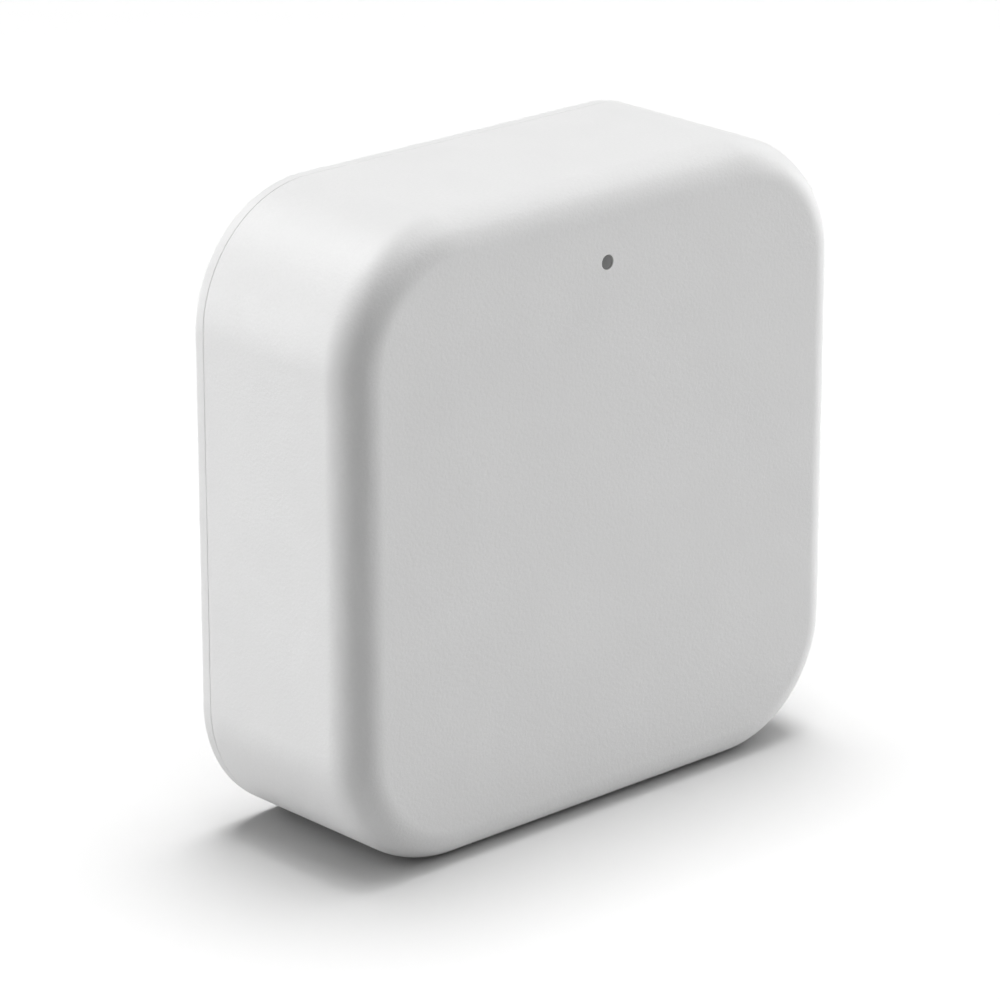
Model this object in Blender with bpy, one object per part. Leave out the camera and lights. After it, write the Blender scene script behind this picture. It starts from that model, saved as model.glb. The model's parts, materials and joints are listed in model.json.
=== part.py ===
"""Compact smart home hub: a rounded square box with one status light, standing on its flat lower side.

Metres, +Z up. The front face looks along -Y; the cable inlet and the recessed reset button are on the rear (+Y).
The origin is at the middle of the underside. Every outline is drawn in the XZ plane and grows along Y.
"""
import math

import bmesh
import bpy
from mathutils import Vector

# ---- driving dimensions -------------------------------------------------------------------------------------
SIDE = 0.070                # width and height of the square box
DEPTH = 0.025               # front face to rear face
CORNER_R = 0.0145           # corner radius of the square, seen from the front
FRONT_EDGE = 0.0046         # radius of the soft front edge
REAR_EDGE = 0.0006          # small radius round the rear face
WALL = 0.002                # moulded wall thickness
SEAM_TO_REAR = 0.0016       # middle of the seam line to rear face
GAP = 0.0003                # clearance between pieces that touch

CORNER_STEPS = 12           # segments in each quarter turn of a large outline
ROUND_STEPS = 24            # segments in a full turn of a small round piece

# ---- planes across the depth --------------------------------------------------------------------------------
FRONT_Y = -DEPTH / 2
REAR_Y = DEPTH / 2
FRONT_INNER_Y = FRONT_Y + WALL
SHELL_RIM_Y = REAR_Y - SEAM_TO_REAR - GAP / 2
COVER_RIM_Y = SHELL_RIM_Y + GAP
COVER_INNER_Y = REAR_Y - WALL
LIP_Y = REAR_Y - 0.0035                # front end of the cover's locating lip
BOARD_FRONT_Y = 0.002
BOARD_REAR_Y = BOARD_FRONT_Y + 0.0016
PART_Y = BOARD_REAR_Y + GAP            # seat of the parts on the rear side of the board

MID_Z = SIDE / 2
CAVITY = SIDE - 2 * WALL
CAVITY_R = CORNER_R - WALL
EMBED = 0.0003                        # how deep a boss starts inside the wall that it grows from

# ---- places in the front plane, (x, z) ----------------------------------------------------------------------
COVER_SCREW_OFFSET = 0.025
COVER_SCREWS = [(sx * COVER_SCREW_OFFSET, MID_Z + sz * COVER_SCREW_OFFSET) for sz in (1, -1) for sx in (-1, 1)]
BOARD_SCREWS = [(sx * 0.025, MID_Z + sz * 0.014) for sz in (1, -1) for sx in (-1, 1)]
LIGHT = (0.0, MID_Z + 0.0265)
PORT = (0.0, 0.0115)
BUTTON = (0.0125, 0.0115)
LABEL = (0.0, MID_Z)
LABEL_SIZE = (0.036, 0.018)
VENT_Z = MID_Z + 0.0165
VENT_COUNT = 5
VENT_PITCH = 0.0027
VENT_SIZE = (0.020, 0.0012)

# ---- power receptacle ---------------------------------------------------------------------------------------
PORT_SHELL = (0.00894, 0.00326)       # outside of the standard steel shell
PORT_SHEET = 0.00028
PORT_MOUTH_Y = REAR_Y - 0.0006
TONGUE = (0.00669, 0.0007)

# ---- reset button and the switch behind it ------------------------------------------------------------------
BUTTON_R = 0.0018
BUTTON_FACE_Y = REAR_Y - 0.0004
BUTTON_FLANGE_R = 0.003
BUTTON_FLANGE_T = 0.001
SWITCH_SIDE = 0.006
SWITCH_BASE_T = 0.003
SWITCH_FRAME_T = 0.0003
PLUNGER_R = 0.0016
PLUNGER_HOLE_R = 0.002
PLUNGER_TOP_Y = 0.0084

# ---- fasteners ----------------------------------------------------------------------------------------------
COVER_SCREW = {"head_r": 0.0022, "head_t": 0.0012, "shank_r": 0.001, "length": 0.0085}
BOARD_SCREW = {"head_r": 0.0018, "head_t": 0.0011, "shank_r": 0.0008, "length": 0.007}
COUNTERBORE_FLOOR_Y = REAR_Y - 0.002

# ---- finishes: colour, roughness, metallic ------------------------------------------------------------------
FINISHES = {
    "white_plastic": ((0.80, 0.80, 0.80, 1.0), 0.55, 0.0),
    "grey_button": ((0.45, 0.46, 0.47, 1.0), 0.50, 0.0),
    "light_guide": ((0.30, 0.31, 0.31, 1.0), 0.20, 0.0),
    "black_rubber": ((0.02, 0.02, 0.02, 1.0), 0.75, 0.0),
    "black_plastic": ((0.03, 0.03, 0.03, 1.0), 0.45, 0.0),
    "green_board": ((0.02, 0.16, 0.07, 1.0), 0.40, 0.0),
    "black_board": ((0.02, 0.02, 0.03, 1.0), 0.40, 0.0),
    "steel": ((0.62, 0.62, 0.63, 1.0), 0.30, 1.0),
    "zinc_screw": ((0.55, 0.55, 0.56, 1.0), 0.35, 1.0),
    "aluminium_can": ((0.75, 0.75, 0.76, 1.0), 0.28, 1.0),
    "ferrite": ((0.09, 0.09, 0.10, 1.0), 0.60, 0.0),
    "ceramic": ((0.62, 0.58, 0.50, 1.0), 0.50, 0.0),
    "tantalum": ((0.62, 0.42, 0.10, 1.0), 0.50, 0.0),
    "label_film": ((0.70, 0.71, 0.72, 1.0), 0.35, 0.0),
    "led_body": ((0.78, 0.76, 0.62, 1.0), 0.30, 0.0),
}


def clear_scene():
    for old in list(bpy.data.objects):
        bpy.data.objects.remove(old, do_unlink=True)


def finish_material(finish):
    material = bpy.data.materials.get(finish)
    if material:
        return material
    colour, roughness, metallic = FINISHES[finish]
    material = bpy.data.materials.new(finish)
    material.use_nodes = True
    shader = material.node_tree.nodes["Principled BSDF"]
    shader.inputs["Base Color"].default_value = colour
    shader.inputs["Roughness"].default_value = roughness
    shader.inputs["Metallic"].default_value = metallic
    return material


def to_object(name, bm, finish):
    """Turn a bmesh into a named, smooth-shaded object with its own finish."""
    bmesh.ops.recalc_face_normals(bm, faces=bm.faces)
    mesh = bpy.data.meshes.new(name)
    bm.to_mesh(mesh)
    bm.free()
    mesh.shade_smooth()
    mesh.set_sharp_from_angle(angle=math.radians(35))
    piece = bpy.data.objects.new(name, mesh)
    bpy.context.scene.collection.objects.link(piece)
    if finish:
        mesh.materials.append(finish_material(finish))
    return piece


# ---- outlines, as lists of (x, z) ---------------------------------------------------------------------------
def arc(centre, radius, start, end, steps):
    """Points on an arc, angles in degrees, both ends included."""
    angles = [math.radians(start + (end - start) * i / steps) for i in range(steps + 1)]
    return [(centre[0] + radius * math.cos(a), centre[1] + radius * math.sin(a)) for a in angles]


def circle(centre, radius):
    """A full turn whose first point is half a step round, so that no point lies on a diagonal."""
    half_step = 180 / ROUND_STEPS
    return arc(centre, radius, half_step, 360 + half_step, ROUND_STEPS)[:-1]


def rounded_rectangle(centre, size, radius, steps=4):
    half_x, half_z = size[0] / 2 - radius, size[1] / 2 - radius
    points = []
    for sx, sz, start in ((1, 1, 0), (-1, 1, 90), (-1, -1, 180), (1, -1, 270)):
        corner = (centre[0] + sx * half_x, centre[1] + sz * half_z)
        points += arc(corner, radius, start, start + 90, steps)
    return points


def square_outline(side, radius):
    """The hub's own outline, at the size of one of its walls."""
    return rounded_rectangle((0, MID_Z), (side, side), radius, CORNER_STEPS)


def stadium(centre, size):
    """A slot with full round ends; its straight sides are along X."""
    radius = size[1] / 2
    reach = size[0] / 2 - radius
    right = arc((centre[0] + reach, centre[1]), radius, -90, 90, 8)
    left = arc((centre[0] - reach, centre[1]), radius, 90, 270, 8)
    return right + left


# ---- solids -------------------------------------------------------------------------------------------------
def prism_mesh(outline, y0, y1):
    """A bmesh with the outline drawn at y0 and extruded to y1."""
    bm = bmesh.new()
    face = bm.faces.new([bm.verts.new((x, y0, z)) for x, z in outline])
    grown = bmesh.ops.extrude_face_region(bm, geom=[face])
    moved = [item for item in grown["geom"] if isinstance(item, bmesh.types.BMVert)]
    bmesh.ops.translate(bm, verts=moved, vec=(0, y1 - y0, 0))
    return bm


def round_edges_at(bm, y, width, steps):
    """Round the edges that lie in the plane at depth y."""
    flat = [edge for edge in bm.edges if all(abs(vert.co.y - y) < 1e-7 for vert in edge.verts)]
    bmesh.ops.bevel(bm, geom=flat, offset=width, segments=steps, profile=0.5, affect="EDGES", clamp_overlap=True)


def prism(name, outline, y0, y1, finish=None):
    return to_object(name, prism_mesh(outline, y0, y1), finish)


def soft_prism(name, outline, y0, y1, width, finish=None):
    """A prism with its far edge (at y1) broken by a small bevel, as on a moulded chip or cap."""
    bm = prism_mesh(outline, y0, y1)
    round_edges_at(bm, y1, width, 2)
    return to_object(name, bm, finish)


def turned(name, place, profile, finish=None, steps=ROUND_STEPS):
    """Spin a profile of (radius, y) about an axis along Y through place. A closed profile makes a ring."""
    bm = bmesh.new()
    points = [bm.verts.new((place[0] + radius, y, place[1])) for radius, y in profile]
    edges = [bm.edges.new(pair) for pair in zip(points, points[1:])]
    if min(radius for radius, _ in profile) > 0:
        edges.append(bm.edges.new((points[-1], points[0])))
    bmesh.ops.spin(bm, geom=points + edges, cent=(place[0], 0, place[1]), axis=(0, 1, 0),
                   angle=math.tau, steps=steps, use_merge=True)
    bmesh.ops.remove_doubles(bm, verts=bm.verts, dist=1e-6)
    bmesh.ops.dissolve_degenerate(bm, dist=1e-8, edges=bm.edges)
    return to_object(name, bm, finish)


def cylinder(name, place, radius, y0, y1):
    """A plain round guide, used to add a boss or to drill a hole."""
    return prism(name, circle(place, radius), y0, y1)


def combine(body, tool, operation):
    """Join or cut with another object, which is only a guide from then on."""
    tool.hide_render = True
    tool.display_type = "WIRE"
    step = body.modifiers.new(tool.name, "BOOLEAN")
    step.operation = operation
    step.solver = "EXACT"
    step.object = tool


def add(body, tool):
    combine(body, tool, "UNION")


def cut(body, tool):
    combine(body, tool, "DIFFERENCE")


# ---- housing ------------------------------------------------------------------------------------------------
def corner_rib(place):
    """A thin web from a cover-screw boss out to the corner wall behind it."""
    outward = Vector((math.copysign(1, place[0]), 0, math.copysign(1, place[1] - MID_Z))).normalized()
    across = Vector((-outward.z, 0, outward.x))
    start = Vector((place[0], 0, place[1]))
    length, half = 0.0066, 0.0006
    corners = [start + across * half, start - across * half]
    corners += [corner + outward * length for corner in reversed(corners)]
    outline = [(corner.x, corner.z) for corner in corners]
    return prism("corner_rib_guide", outline, FRONT_INNER_Y - EMBED, 0.006)


def make_front_shell():
    """Front face and four walls as one moulding, open to the rear, with its bosses and the light's socket."""
    bm = prism_mesh(square_outline(SIDE, CORNER_R), FRONT_Y, SHELL_RIM_Y)
    round_edges_at(bm, FRONT_Y, FRONT_EDGE, 9)
    shell = to_object("front_shell", bm, "white_plastic")

    hollow = prism_mesh(square_outline(CAVITY, CAVITY_R), FRONT_INNER_Y, SHELL_RIM_Y + WALL)
    round_edges_at(hollow, FRONT_INNER_Y, FRONT_EDGE - WALL, 5)
    cut(shell, to_object("hollow_guide", hollow, None))

    root_y = FRONT_INNER_Y - EMBED
    boss_top = COUNTERBORE_FLOOR_Y - 0.0016 - GAP
    for place in COVER_SCREWS:
        add(shell, cylinder("cover_boss_guide", place, 0.003, root_y, boss_top))
        add(shell, corner_rib(place))
    for place in COVER_SCREWS:
        cut(shell, cylinder("cover_boss_bore", place, COVER_SCREW["shank_r"] + GAP, 0.0, boss_top + WALL))

    for place in BOARD_SCREWS:
        add(shell, cylinder("board_boss_guide", place, 0.0024, root_y, BOARD_FRONT_Y - GAP))
    for place in BOARD_SCREWS:
        cut(shell, cylinder("board_boss_bore", place, BOARD_SCREW["shank_r"] + GAP, -0.005, BOARD_FRONT_Y + WALL))

    add(shell, cylinder("light_socket_guide", LIGHT, 0.003, root_y, -0.004))
    cut(shell, cylinder("light_socket_bore", LIGHT, 0.0018, FRONT_INNER_Y, 0.0))
    cut(shell, cylinder("light_hole", LIGHT, 0.00085, FRONT_Y - WALL, 0.0))
    return shell


def make_rear_cover():
    """Rear plate with a locating lip inside the shell, four screw seats, port, button hole, vents and label bay."""
    bm = prism_mesh(square_outline(SIDE, CORNER_R), COVER_RIM_Y, REAR_Y)
    round_edges_at(bm, REAR_Y, REAR_EDGE, 4)
    cover = to_object("rear_cover", bm, "white_plastic")

    lip_side = CAVITY - 2 * GAP
    lip_wall = 0.0012
    add(cover, prism("lip_guide", square_outline(lip_side, CAVITY_R - GAP), LIP_Y, REAR_Y - REAR_EDGE))
    pocket = square_outline(lip_side - 2 * lip_wall, CAVITY_R - GAP - lip_wall)
    cut(cover, prism("pocket_guide", pocket, LIP_Y - WALL, COVER_INNER_Y))

    for place in COVER_SCREWS:
        add(cover, cylinder("seat_guide", place, 0.005, COUNTERBORE_FLOOR_Y - 0.0016, REAR_Y - REAR_EDGE))
    for place in COVER_SCREWS:
        cut(cover, cylinder("counterbore", place, 0.0026, COUNTERBORE_FLOOR_Y, REAR_Y + WALL))
        cut(cover, cylinder("screw_hole", place, COVER_SCREW["shank_r"] + GAP, LIP_Y - WALL, REAR_Y))

    opening = (PORT_SHELL[0] + 2 * GAP, PORT_SHELL[1] + 2 * GAP)
    flare = (opening[0] + 0.0014, opening[1] + 0.0014)
    cut(cover, prism("port_opening", stadium(PORT, opening), LIP_Y, REAR_Y + WALL))
    cut(cover, prism("port_flare", stadium(PORT, flare), REAR_Y - 0.0005, REAR_Y + WALL))
    cut(cover, cylinder("button_hole", BUTTON, BUTTON_R + GAP, LIP_Y, REAR_Y + WALL))

    for row in range(VENT_COUNT):
        place = (0.0, VENT_Z + row * VENT_PITCH)
        cut(cover, prism("vent_slot", stadium(place, VENT_SIZE), LIP_Y, REAR_Y + WALL))

    bay_size = (LABEL_SIZE[0] + 2 * GAP, LABEL_SIZE[1] + 2 * GAP)
    cut(cover, prism("label_bay", rounded_rectangle(LABEL, bay_size, 0.0015), REAR_Y - 0.0006, REAR_Y + WALL))
    return cover


def make_rear_label():
    """A blank film in the shallow bay of the rear cover."""
    seat_y = REAR_Y - 0.0006 + GAP
    return prism("rear_label", rounded_rectangle(LABEL, LABEL_SIZE, 0.0012), seat_y, seat_y + 0.0002, "label_film")


# ---- status light -------------------------------------------------------------------------------------------
def make_light():
    led_t = 0.0006
    led_rear_y = BOARD_FRONT_Y - GAP
    pipe_end_y = led_rear_y - led_t - GAP
    pipe_r = 0.0015
    tip_r = 0.00055
    neck_y = FRONT_INNER_Y + GAP
    turned("light_pipe", LIGHT, [
        (0, FRONT_Y + 0.00018),
        (tip_r * 0.7, FRONT_Y + 0.0002),
        (tip_r, FRONT_Y + 0.0003),
        (tip_r, neck_y),
        (pipe_r, neck_y),
        (pipe_r, pipe_end_y),
        (0, pipe_end_y),
    ], "light_guide")

    sleeve_y = -0.004 + GAP
    turned("light_shroud", LIGHT, [
        (0.0018, sleeve_y), (0.0028, sleeve_y), (0.0028, led_rear_y), (0.0018, led_rear_y),
    ], "black_rubber")

    outline = rounded_rectangle(LIGHT, (0.0016, 0.0008), 0.0001, 2)
    soft_prism("indicator_led", outline, led_rear_y, led_rear_y - led_t, 0.0001, "led_body")


# ---- circuit board ------------------------------------------------------------------------------------------
def board_outline():
    """A square board whose corners are cut back, with a round inner corner, to clear the cover's bosses."""
    half_x, half_z, notch, radius = 0.029, 0.030, 0.0195, 0.002
    points = []
    for sx, sz, start in ((1, 1, 0), (-1, 1, 90), (-1, -1, 180), (1, -1, 270)):
        side_end = (sx * half_x, MID_Z + sz * notch)
        top_end = (sx * notch, MID_Z + sz * half_z)
        inner = (sx * (notch + radius), MID_Z + sz * (notch + radius))
        turn = arc(inner, radius, start + 270, start + 180, 3)
        ordered = [side_end] + turn + [top_end]
        points += ordered if sx == sz else [top_end] + turn + [side_end]
    return points


def make_board():
    board = prism("main_board", board_outline(), BOARD_FRONT_Y, BOARD_REAR_Y, "green_board")
    for place in BOARD_SCREWS:
        hole = cylinder("board_hole", place, BOARD_SCREW["shank_r"] + GAP, BOARD_FRONT_Y - WALL, BOARD_REAR_Y + WALL)
        cut(board, hole)


def box_outline(centre, size):
    return rounded_rectangle(centre, size, 0.0002, 1)


def chip_with_leads(name, centre, body_size, height, lead_xs, finish="black_plastic"):
    """A moulded chip with bent leads along its two long sides, at the X offsets given."""
    lift = 0.0002
    chip = soft_prism(name, box_outline(centre, body_size), PART_Y + lift, PART_Y + height, 0.0002, finish)
    reach, lead_w, lead_t = 0.0010, 0.0004, 0.0002
    for side in (1, -1):
        edge = centre[1] + side * body_size[1] / 2
        for offset in lead_xs:
            x = centre[0] + offset
            foot = box_outline((x, edge + side * reach / 2), (lead_w, reach + 0.0001))
            stem = box_outline((x, edge + side * reach * 0.15), (lead_w, reach * 0.7))
            add(chip, prism("lead_foot", foot, PART_Y, PART_Y + lead_t))
            add(chip, prism("lead_stem", stem, PART_Y + lead_t / 2, PART_Y + height / 2))
    return chip


def make_power_parts():
    chip_with_leads("regulator", (-0.0125, 0.0225), (0.0065, 0.0035), 0.0017, (-0.0023, 0.0, 0.0023))
    chip_with_leads("usb_protection_chip", (0.0, 0.0185), (0.0029, 0.0016), 0.0011, (-0.00095, 0.0, 0.00095))

    outline = rounded_rectangle((0.0125, 0.0235), (0.0065, 0.0065), 0.0012, 3)
    soft_prism("power_inductor", outline, PART_Y, PART_Y + 0.003, 0.0004, "ferrite")

    place = (-0.0125, 0.0125)
    base_t = 0.0008
    bm = prism_mesh(rounded_rectangle(place, (0.0054, 0.0054), 0.0006, 2), PART_Y, PART_Y + base_t)
    to_object("input_capacitor_base", bm, "black_plastic")
    seat = PART_Y + base_t + GAP
    turned("input_capacitor_can", place, [
        (0, seat), (0.0023, seat), (0.0025, seat + 0.0003), (0.0025, seat + 0.0007), (0.0023, seat + 0.0009),
        (0.0025, seat + 0.0011), (0.0025, seat + 0.0040), (0.0022, seat + 0.0043), (0, seat + 0.0043),
    ], "aluminium_can")

    soft_prism("output_capacitor", box_outline((0.0205, 0.0235), (0.0028, 0.0035)),
               PART_Y, PART_Y + 0.0019, 0.0002, "tantalum")
    soft_prism("input_fuse", box_outline((-0.0055, 0.0185), (0.0032, 0.0016)),
               PART_Y, PART_Y + 0.0008, 0.00015, "ceramic")


def make_radio_parts():
    """The wireless module on its own small board, and the short-range radio with its clock and antenna."""
    board_t = 0.0008
    prism("wifi_module_board", box_outline((0.0, 0.0515), (0.024, 0.016)), PART_Y, PART_Y + board_t, "black_board")

    can_y = PART_Y + board_t + GAP
    can_t, sheet = 0.0023, 0.0003
    centre, size = (0.0030, 0.0515), (0.0165, 0.0145)
    can = soft_prism("wifi_shield_can", rounded_rectangle(centre, size, 0.0008, 3),
                     can_y, can_y + can_t, 0.0003, "steel")
    inside = rounded_rectangle(centre, (size[0] - 2 * sheet, size[1] - 2 * sheet), 0.0005, 3)
    cut(can, prism("can_inside", inside, can_y - WALL, can_y + can_t - sheet))

    chip_with_leads("flash_chip", (0.0, 0.0350), (0.0049, 0.0039), 0.0016, (-0.0019, -0.00064, 0.00064, 0.0019))
    soft_prism("ble_chip", box_outline((-0.0145, 0.0350), (0.006, 0.006)),
               PART_Y, PART_Y + 0.0009, 0.0001, "black_plastic")
    soft_prism("crystal", rounded_rectangle((-0.0145, 0.0290), (0.0032, 0.0025), 0.0004, 2),
               PART_Y, PART_Y + 0.0008, 0.0002, "steel")
    soft_prism("antenna_chip", box_outline((-0.0255, 0.0350), (0.002, 0.005)),
               PART_Y, PART_Y + 0.0012, 0.00015, "ceramic")


# ---- power receptacle ---------------------------------------------------------------------------------------
def make_receptacle():
    """A steel shell standing on the board with its mouth in the rear cover, and the tongue inside it."""
    shell = prism("usb_shell", stadium(PORT, PORT_SHELL), PART_Y, PORT_MOUTH_Y, "steel")
    inside = (PORT_SHELL[0] - 2 * PORT_SHEET, PORT_SHELL[1] - 2 * PORT_SHEET)
    cut(shell, prism("shell_inside", stadium(PORT, inside), PART_Y - WALL, REAR_Y))

    base = (inside[0] - 2 * GAP, inside[1] - 2 * GAP)
    step_y = PART_Y + 0.0016
    tongue_end = PORT_MOUTH_Y - 0.0009
    insulator = prism("usb_insulator", stadium(PORT, base), PART_Y, step_y, "black_plastic")
    collar = prism("tongue_collar", rounded_rectangle(PORT, (TONGUE[0], 0.0012), 0.0003, 2), step_y - 0.0002,
                   step_y + 0.0014)
    tongue = prism_mesh(rounded_rectangle(PORT, TONGUE, 0.0003, 2), step_y - 0.0002, tongue_end)
    round_edges_at(tongue, tongue_end, 0.00015, 2)
    add(insulator, collar)
    add(insulator, to_object("tongue_guide", tongue, None))


# ---- reset button and switch --------------------------------------------------------------------------------
def make_reset():
    """The button in the rear cover, its switch on the board, and the plunger that the button pushes."""
    flange_rear = COVER_INNER_Y - GAP
    flange_front = flange_rear - BUTTON_FLANGE_T
    post_y = PLUNGER_TOP_Y + GAP
    hub = bpy.data.objects.new("reset_axis", None)
    hub.location = (BUTTON[0], BUTTON_FACE_Y, BUTTON[1])
    bpy.context.scene.collection.objects.link(hub)
    button = turned("reset_button", (0, 0), [
        (0, post_y - BUTTON_FACE_Y),
        (0.0012, post_y - BUTTON_FACE_Y),
        (0.0012, flange_front - BUTTON_FACE_Y),
        (BUTTON_FLANGE_R, flange_front - BUTTON_FACE_Y),
        (BUTTON_FLANGE_R, flange_rear - BUTTON_FACE_Y),
        (BUTTON_R, flange_rear - BUTTON_FACE_Y),
        (BUTTON_R, -0.0002),
        (BUTTON_R - 0.0002, 0),
        (BUTTON_R - 0.0005, 0),
        (BUTTON_R - 0.0009, -0.00015),
        (0, -0.0002),
    ], "grey_button")
    button.parent = hub

    base_top = PART_Y + SWITCH_BASE_T
    well_floor = base_top - 0.0016
    side = (SWITCH_SIDE, SWITCH_SIDE)
    base = prism("tact_switch_base", rounded_rectangle(BUTTON, side, 0.0004, 2), PART_Y, base_top, "black_plastic")
    cut(base, cylinder("plunger_well", BUTTON, PLUNGER_HOLE_R, well_floor, base_top + WALL))

    frame_y = base_top + GAP
    frame = prism("tact_switch_frame", rounded_rectangle(BUTTON, side, 0.0004, 2), frame_y,
                  frame_y + SWITCH_FRAME_T, "steel")
    cut(frame, cylinder("frame_hole", BUTTON, PLUNGER_HOLE_R, frame_y - WALL, frame_y + WALL))

    foot_y = well_floor + 0.0007
    turned("tact_switch_plunger", BUTTON, [
        (0, foot_y), (PLUNGER_R, foot_y), (PLUNGER_R, PLUNGER_TOP_Y - 0.0002),
        (PLUNGER_R - 0.0002, PLUNGER_TOP_Y), (0, PLUNGER_TOP_Y),
    ], "black_plastic")


# ---- fasteners ----------------------------------------------------------------------------------------------
def make_screw(name, place, seat_y, size):
    """A pan-head screw driven from the rear, with a cross recess and a tapered point."""
    head_r, head_t = size["head_r"], size["head_t"]
    shank_r, tip_y = size["shank_r"], seat_y - size["length"]
    screw = turned(name, place, [
        (0, tip_y), (shank_r * 0.35, tip_y), (shank_r, tip_y + 0.0015), (shank_r, seat_y),
        (head_r, seat_y), (head_r, seat_y + head_t * 0.5), (head_r * 0.86, seat_y + head_t * 0.85),
        (head_r * 0.6, seat_y + head_t), (0, seat_y + head_t),
    ], "zinc_screw", steps=20)
    length, width = head_r * 1.1, head_r * 0.28
    arms = [(sx * a, sz * b) for sx, sz, order in ((1, 1, 0), (-1, 1, 1), (-1, -1, 0), (1, -1, 1))
            for a, b in cross_quarter(length / 2, width / 2, order)]
    outline = [(place[0] + x, place[1] + z) for x, z in arms]
    cut(screw, prism("cross_recess", outline, seat_y + head_t * 0.35, seat_y + head_t + WALL))


def cross_quarter(reach, half, flip):
    """The three corners of a cross in one quadrant, in walking order."""
    corners = [(reach, half), (half, half), (half, reach)]
    return corners[::-1] if flip else corners


def make_screws():
    for number, place in enumerate(COVER_SCREWS, 1):
        make_screw(f"cover_screw_{number}", place, COUNTERBORE_FLOOR_Y + GAP, COVER_SCREW)
    for number, place in enumerate(BOARD_SCREWS, 1):
        make_screw(f"board_screw_{number}", place, BOARD_REAR_Y + GAP, BOARD_SCREW)


clear_scene()
make_front_shell()
make_rear_cover()
make_rear_label()
make_light()
make_board()
make_power_parts()
make_radio_parts()
make_receptacle()
make_reset()
make_screws()
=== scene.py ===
import json
import math

import bmesh
import bpy
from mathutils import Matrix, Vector


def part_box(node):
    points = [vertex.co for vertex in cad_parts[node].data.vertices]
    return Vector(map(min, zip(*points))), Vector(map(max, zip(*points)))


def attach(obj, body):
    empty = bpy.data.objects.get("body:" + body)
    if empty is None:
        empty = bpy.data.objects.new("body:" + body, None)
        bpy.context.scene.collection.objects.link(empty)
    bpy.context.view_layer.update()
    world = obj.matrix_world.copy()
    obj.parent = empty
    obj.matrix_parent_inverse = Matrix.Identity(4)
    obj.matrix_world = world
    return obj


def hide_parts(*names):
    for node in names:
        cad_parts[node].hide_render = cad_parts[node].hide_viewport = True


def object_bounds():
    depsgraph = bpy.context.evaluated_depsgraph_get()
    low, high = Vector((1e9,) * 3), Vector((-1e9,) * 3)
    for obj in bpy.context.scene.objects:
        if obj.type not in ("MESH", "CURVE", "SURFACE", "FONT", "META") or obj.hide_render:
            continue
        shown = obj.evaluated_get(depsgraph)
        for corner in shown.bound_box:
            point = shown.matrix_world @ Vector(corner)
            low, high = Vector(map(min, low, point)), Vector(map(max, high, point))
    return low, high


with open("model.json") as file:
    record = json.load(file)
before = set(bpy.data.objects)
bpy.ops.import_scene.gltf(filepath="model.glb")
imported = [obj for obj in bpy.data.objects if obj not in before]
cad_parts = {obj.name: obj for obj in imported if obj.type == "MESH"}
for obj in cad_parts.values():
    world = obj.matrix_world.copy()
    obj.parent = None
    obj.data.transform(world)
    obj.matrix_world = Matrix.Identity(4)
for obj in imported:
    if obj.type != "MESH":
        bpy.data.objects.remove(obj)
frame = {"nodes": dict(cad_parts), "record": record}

CAD_LOW, CAD_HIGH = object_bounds()

# ---- the housing's sizes, from the frame and from the part's own design values ------------------
SIDE = CAD_HIGH.x - CAD_LOW.x
CENTRE = (CAD_LOW + CAD_HIGH) / 2
MID_Z = CENTRE.z
FRONT_Y = CAD_LOW.y
REAR_Y = CAD_HIGH.y
CORNER_R = 0.0145
FRONT_REACH = 0.0039        # how far the soft front edge reaches in across the front face
SIDE_REACH = 0.0046         # and how far back along the side walls
REAR_EDGE = 0.0006
WALL = 0.002
SEAM_Y = REAR_Y - 0.0016
SEAM_HALF = 0.000016        # half the open width of the seam line
SEAM_EDGE = 0.00004         # softness of the two rims that meet there
CAP_INSET = 0.0072          # where the flat caps of the two mouldings begin
FINE = 36                   # segments in each large quarter turn
RISE = [math.radians(15 * step) for step in range(7)]    # a quarter turn in seven angles
FLARE = [math.radians(14 * step) for step in range(7)]   # a flared mouth, just short of that
CUT_PAST = 0.001            # how far a cutter runs on past the face that it opens
MOUTH_ROUND = 0.0002        # the usual round at the mouth of an opening
SINK = 0.0003               # how far a body that is added to a wall begins inside the wall


# ---- outlines in the XZ plane -------------------------------------------------------------------
def arc(centre, radius, start, end, steps=5):
    angles = [math.radians(start + (end - start) * i / steps) for i in range(steps + 1)]
    return [(centre[0] + radius * math.cos(a), centre[1] + radius * math.sin(a)) for a in angles]


def rounded_rectangle(centre, size, radius, steps=8):
    half_x, half_z = size[0] / 2 - radius, size[1] / 2 - radius
    points = []
    for sx, sz, start in ((1, 1, 0), (-1, 1, 90), (-1, -1, 180), (1, -1, 270)):
        points += arc((centre[0] + sx * half_x, centre[1] + sz * half_z), radius, start, start + 90, steps)
    return points


def circle(centre, radius, steps=48):
    return arc(centre, radius, 3, 363, steps)[:-1]


def stadium(centre, size, steps=20):
    radius = size[1] / 2
    reach = size[0] / 2 - radius
    right = arc((centre[0] + reach, centre[1]), radius, -90, 90, steps)
    return right + arc((centre[0] - reach, centre[1]), radius, 90, 270, steps)


def housing_ring(inset):
    """The hub's outline, taken in by inset from its side walls."""
    size = SIDE - 2 * inset
    return rounded_rectangle((0, MID_Z), (size, size), CORNER_R - inset, FINE)


def middle(node):
    """Centre of a CAD node in the front plane, as (x, z)."""
    low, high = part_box(node)
    return ((low.x + high.x) / 2, (low.z + high.z) / 2)


def grown(size, margin):
    """A (width, height) with a margin added on every side."""
    return (size[0] + 2 * margin, size[1] + 2 * margin)


def span(node, margin=0.0):
    """Width and height of a CAD node in the front plane, with a margin on every side."""
    low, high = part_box(node)
    return grown((high.x - low.x, high.z - low.z), margin)


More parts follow.
